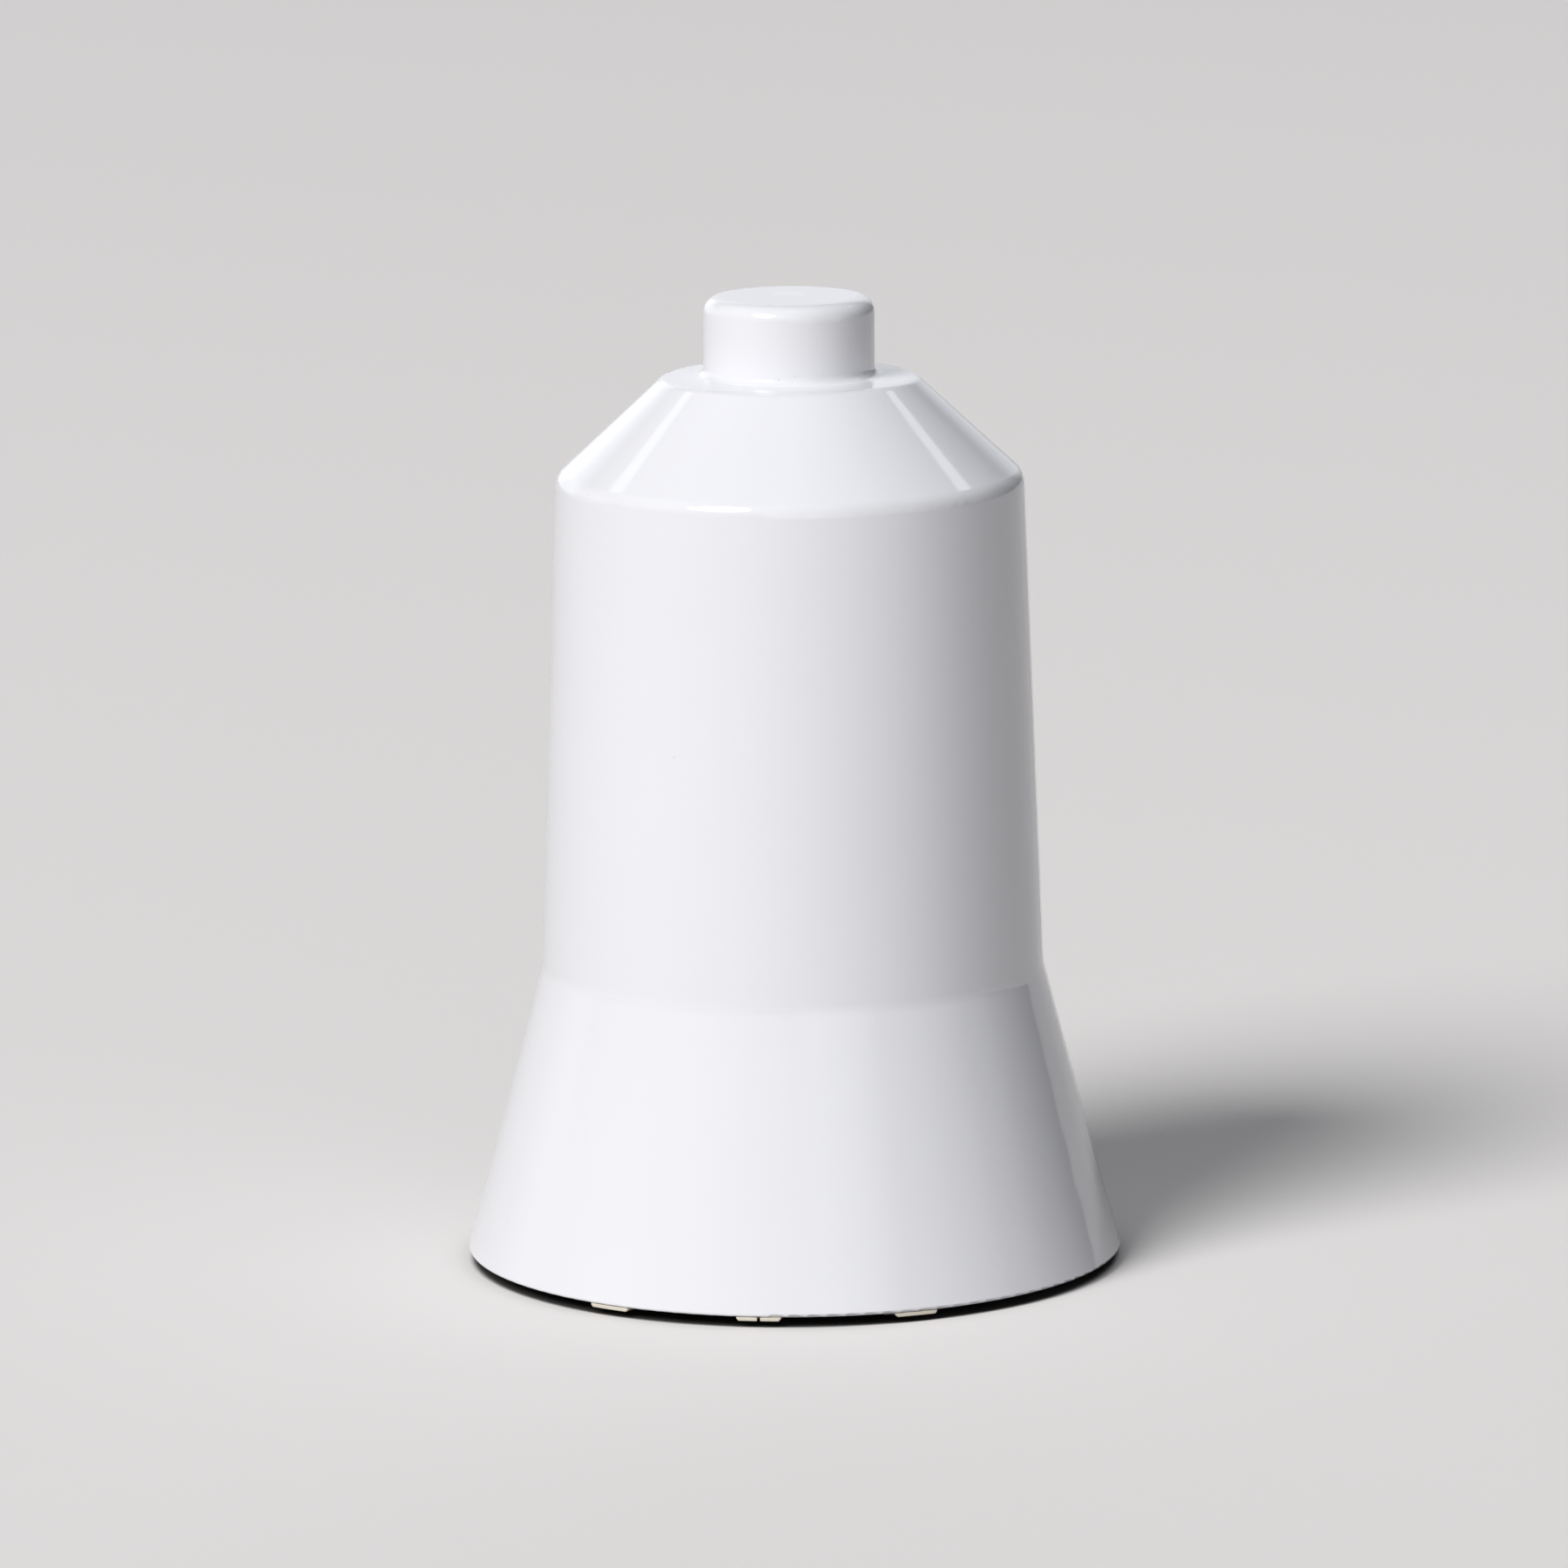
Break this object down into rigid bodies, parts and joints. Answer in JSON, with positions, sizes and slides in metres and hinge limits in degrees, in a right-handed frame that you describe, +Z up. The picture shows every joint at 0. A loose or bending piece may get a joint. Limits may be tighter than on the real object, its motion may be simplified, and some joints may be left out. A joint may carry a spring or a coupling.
{
  "type": "fence post insulator",
  "caption": "Bell-shaped post-top fence insulator: hollow glossy bell with a wire knob, unscrewing from a spindle on a footed base plate.",
  "frame": {"origin": "on the axis of the bell, in the plane that the feet stand on", "axes": "+Z up along the axis of the bell, towards the knob; -Y through the slit in the foot ring"},
  "size_m": [0.0752, 0.0752, 0.1113],
  "materials": {
    "shell": "high gloss moulded, cool white",
    "core": "moulded nylon, light grey",
    "plate": "moulded glass-filled nylon, charcoal",
    "ring": "moulded natural nylon, ivory",
    "guide": "machined acetal, natural white",
    "seals": "moulded rubber, black",
    "zinc": "zinc-plated steel",
    "stainless": "stainless steel"
  },
  "bodies": {
    "base": {"base_plate": "plate", "foot_ring": "ring", "post_screw_seals": "seals", "head_plug": "seals", "spindle": "zinc", "hub_washer": "zinc", "spring_washer": "zinc", "spindle_nut": "zinc", "guide_sleeve": "guide", "thread_thimble": "guide", "thimble_pin": "stainless"},
    "seal": {"wiper_seal": "seals"},
    "bell": {"bell_shell": "shell", "inner_core": "core", "core_gasket": "seals", "core_washer": "stainless", "core_screw": "stainless"}
  },
  "joints": [
    {"name": "bell_lift", "type": "slide", "parent": "base", "child": "seal", "axis": [0, 0, 1], "range_m": [0, 0.01588]},
    {"name": "bell_turn", "type": "hinge", "parent": "seal", "child": "bell", "pos_m": [0, 0, 0], "axis": [0, 0, 1], "range_deg": [0, 900]}
  ],
  "couplings": [
    {"joint": "bell_lift", "follows": "bell_turn", "m_per_rad": 0.0010106}
  ]
}
